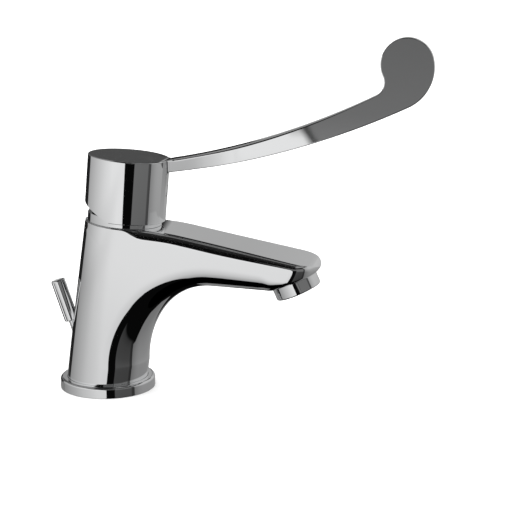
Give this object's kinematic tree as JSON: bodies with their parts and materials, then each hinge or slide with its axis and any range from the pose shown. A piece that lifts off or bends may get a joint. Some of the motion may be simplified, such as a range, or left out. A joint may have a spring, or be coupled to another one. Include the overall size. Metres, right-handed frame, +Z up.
{
  "type": "elbow lever basin mixer tap",
  "caption": "Chrome single-lever basin mixer tap with a leaning column, flat-topped spout, long hooked elbow lever and a pull-up lift rod behind.",
  "frame": {"origin": "middle of the foot's underside, on the deck", "axes": "+Z up from the deck, +X forward along the spout, symmetric about the XZ plane"},
  "size_m": [0.2143, 0.054, 0.2002],
  "materials": {
    "chrome": "bright chrome plate",
    "chrome_ring": "bright chrome plate",
    "chrome_collar": "bright chrome plate",
    "chrome_lever": "bright chrome plate",
    "chrome_outlet": "bright chrome plate",
    "chrome_rod": "bright chrome plate",
    "rubber": "moulded black rubber",
    "cartridge_plastic": "moulded white",
    "carrier_plastic": "moulded grey",
    "insert_plastic": "moulded grey",
    "ceramic": "lapped alumina",
    "steel": "turned",
    "brass": "machined"
  },
  "bodies": {
    "tap_body": {"body_casting": "chrome", "base_ring": "chrome_ring", "base_gasket": "rubber", "cartridge_base": "cartridge_plastic", "port_seals": "rubber", "fixed_disc": "ceramic", "cartridge_housing": "cartridge_plastic", "thrust_ring": "carrier_plastic", "retaining_nut": "brass", "dome_collar": "chrome_collar", "aerator_housing": "chrome_outlet", "aerator_insert": "insert_plastic", "aerator_grille": "insert_plastic", "aerator_seal": "rubber", "rod_bush": "carrier_plastic"},
    "swivel": {"turret": "carrier_plastic", "pivot_pin": "steel"},
    "lever": {"spindle": "brass", "handle": "chrome_lever", "grub_screw": "steel", "screw_plug": "chrome_lever"},
    "mixing_disc": {"moving_disc": "ceramic", "disc_carrier": "carrier_plastic"},
    "waste_rod": {"lift_rod": "chrome_rod", "lift_knob": "chrome_rod"}
  },
  "joints": [
    {"name": "lever_swivel", "type": "hinge", "parent": "tap_body", "child": "swivel", "pos_m": [0.0117, 0, 0.0963], "axis": [0.0872, 0, 0.9962], "range_deg": [-45, 45]},
    {"name": "lever_lift", "type": "hinge", "parent": "swivel", "child": "lever", "pos_m": [0.0117, 0, 0.0963], "axis": [0, -1, 0], "range_deg": [0, 18]},
    {"name": "disc_slide", "type": "slide", "parent": "swivel", "child": "mixing_disc", "axis": [0.9962, 0, -0.0872], "range_m": [0, 0.0029]},
    {"name": "rod_lift", "type": "slide", "parent": "tap_body", "child": "waste_rod", "axis": [-0.3173, 0, 0.9483], "range_m": [0, 0.012]}
  ],
  "couplings": [
    {"joint": "disc_slide", "follows": "lever_lift", "m_per_rad": 0.008902}
  ]
}
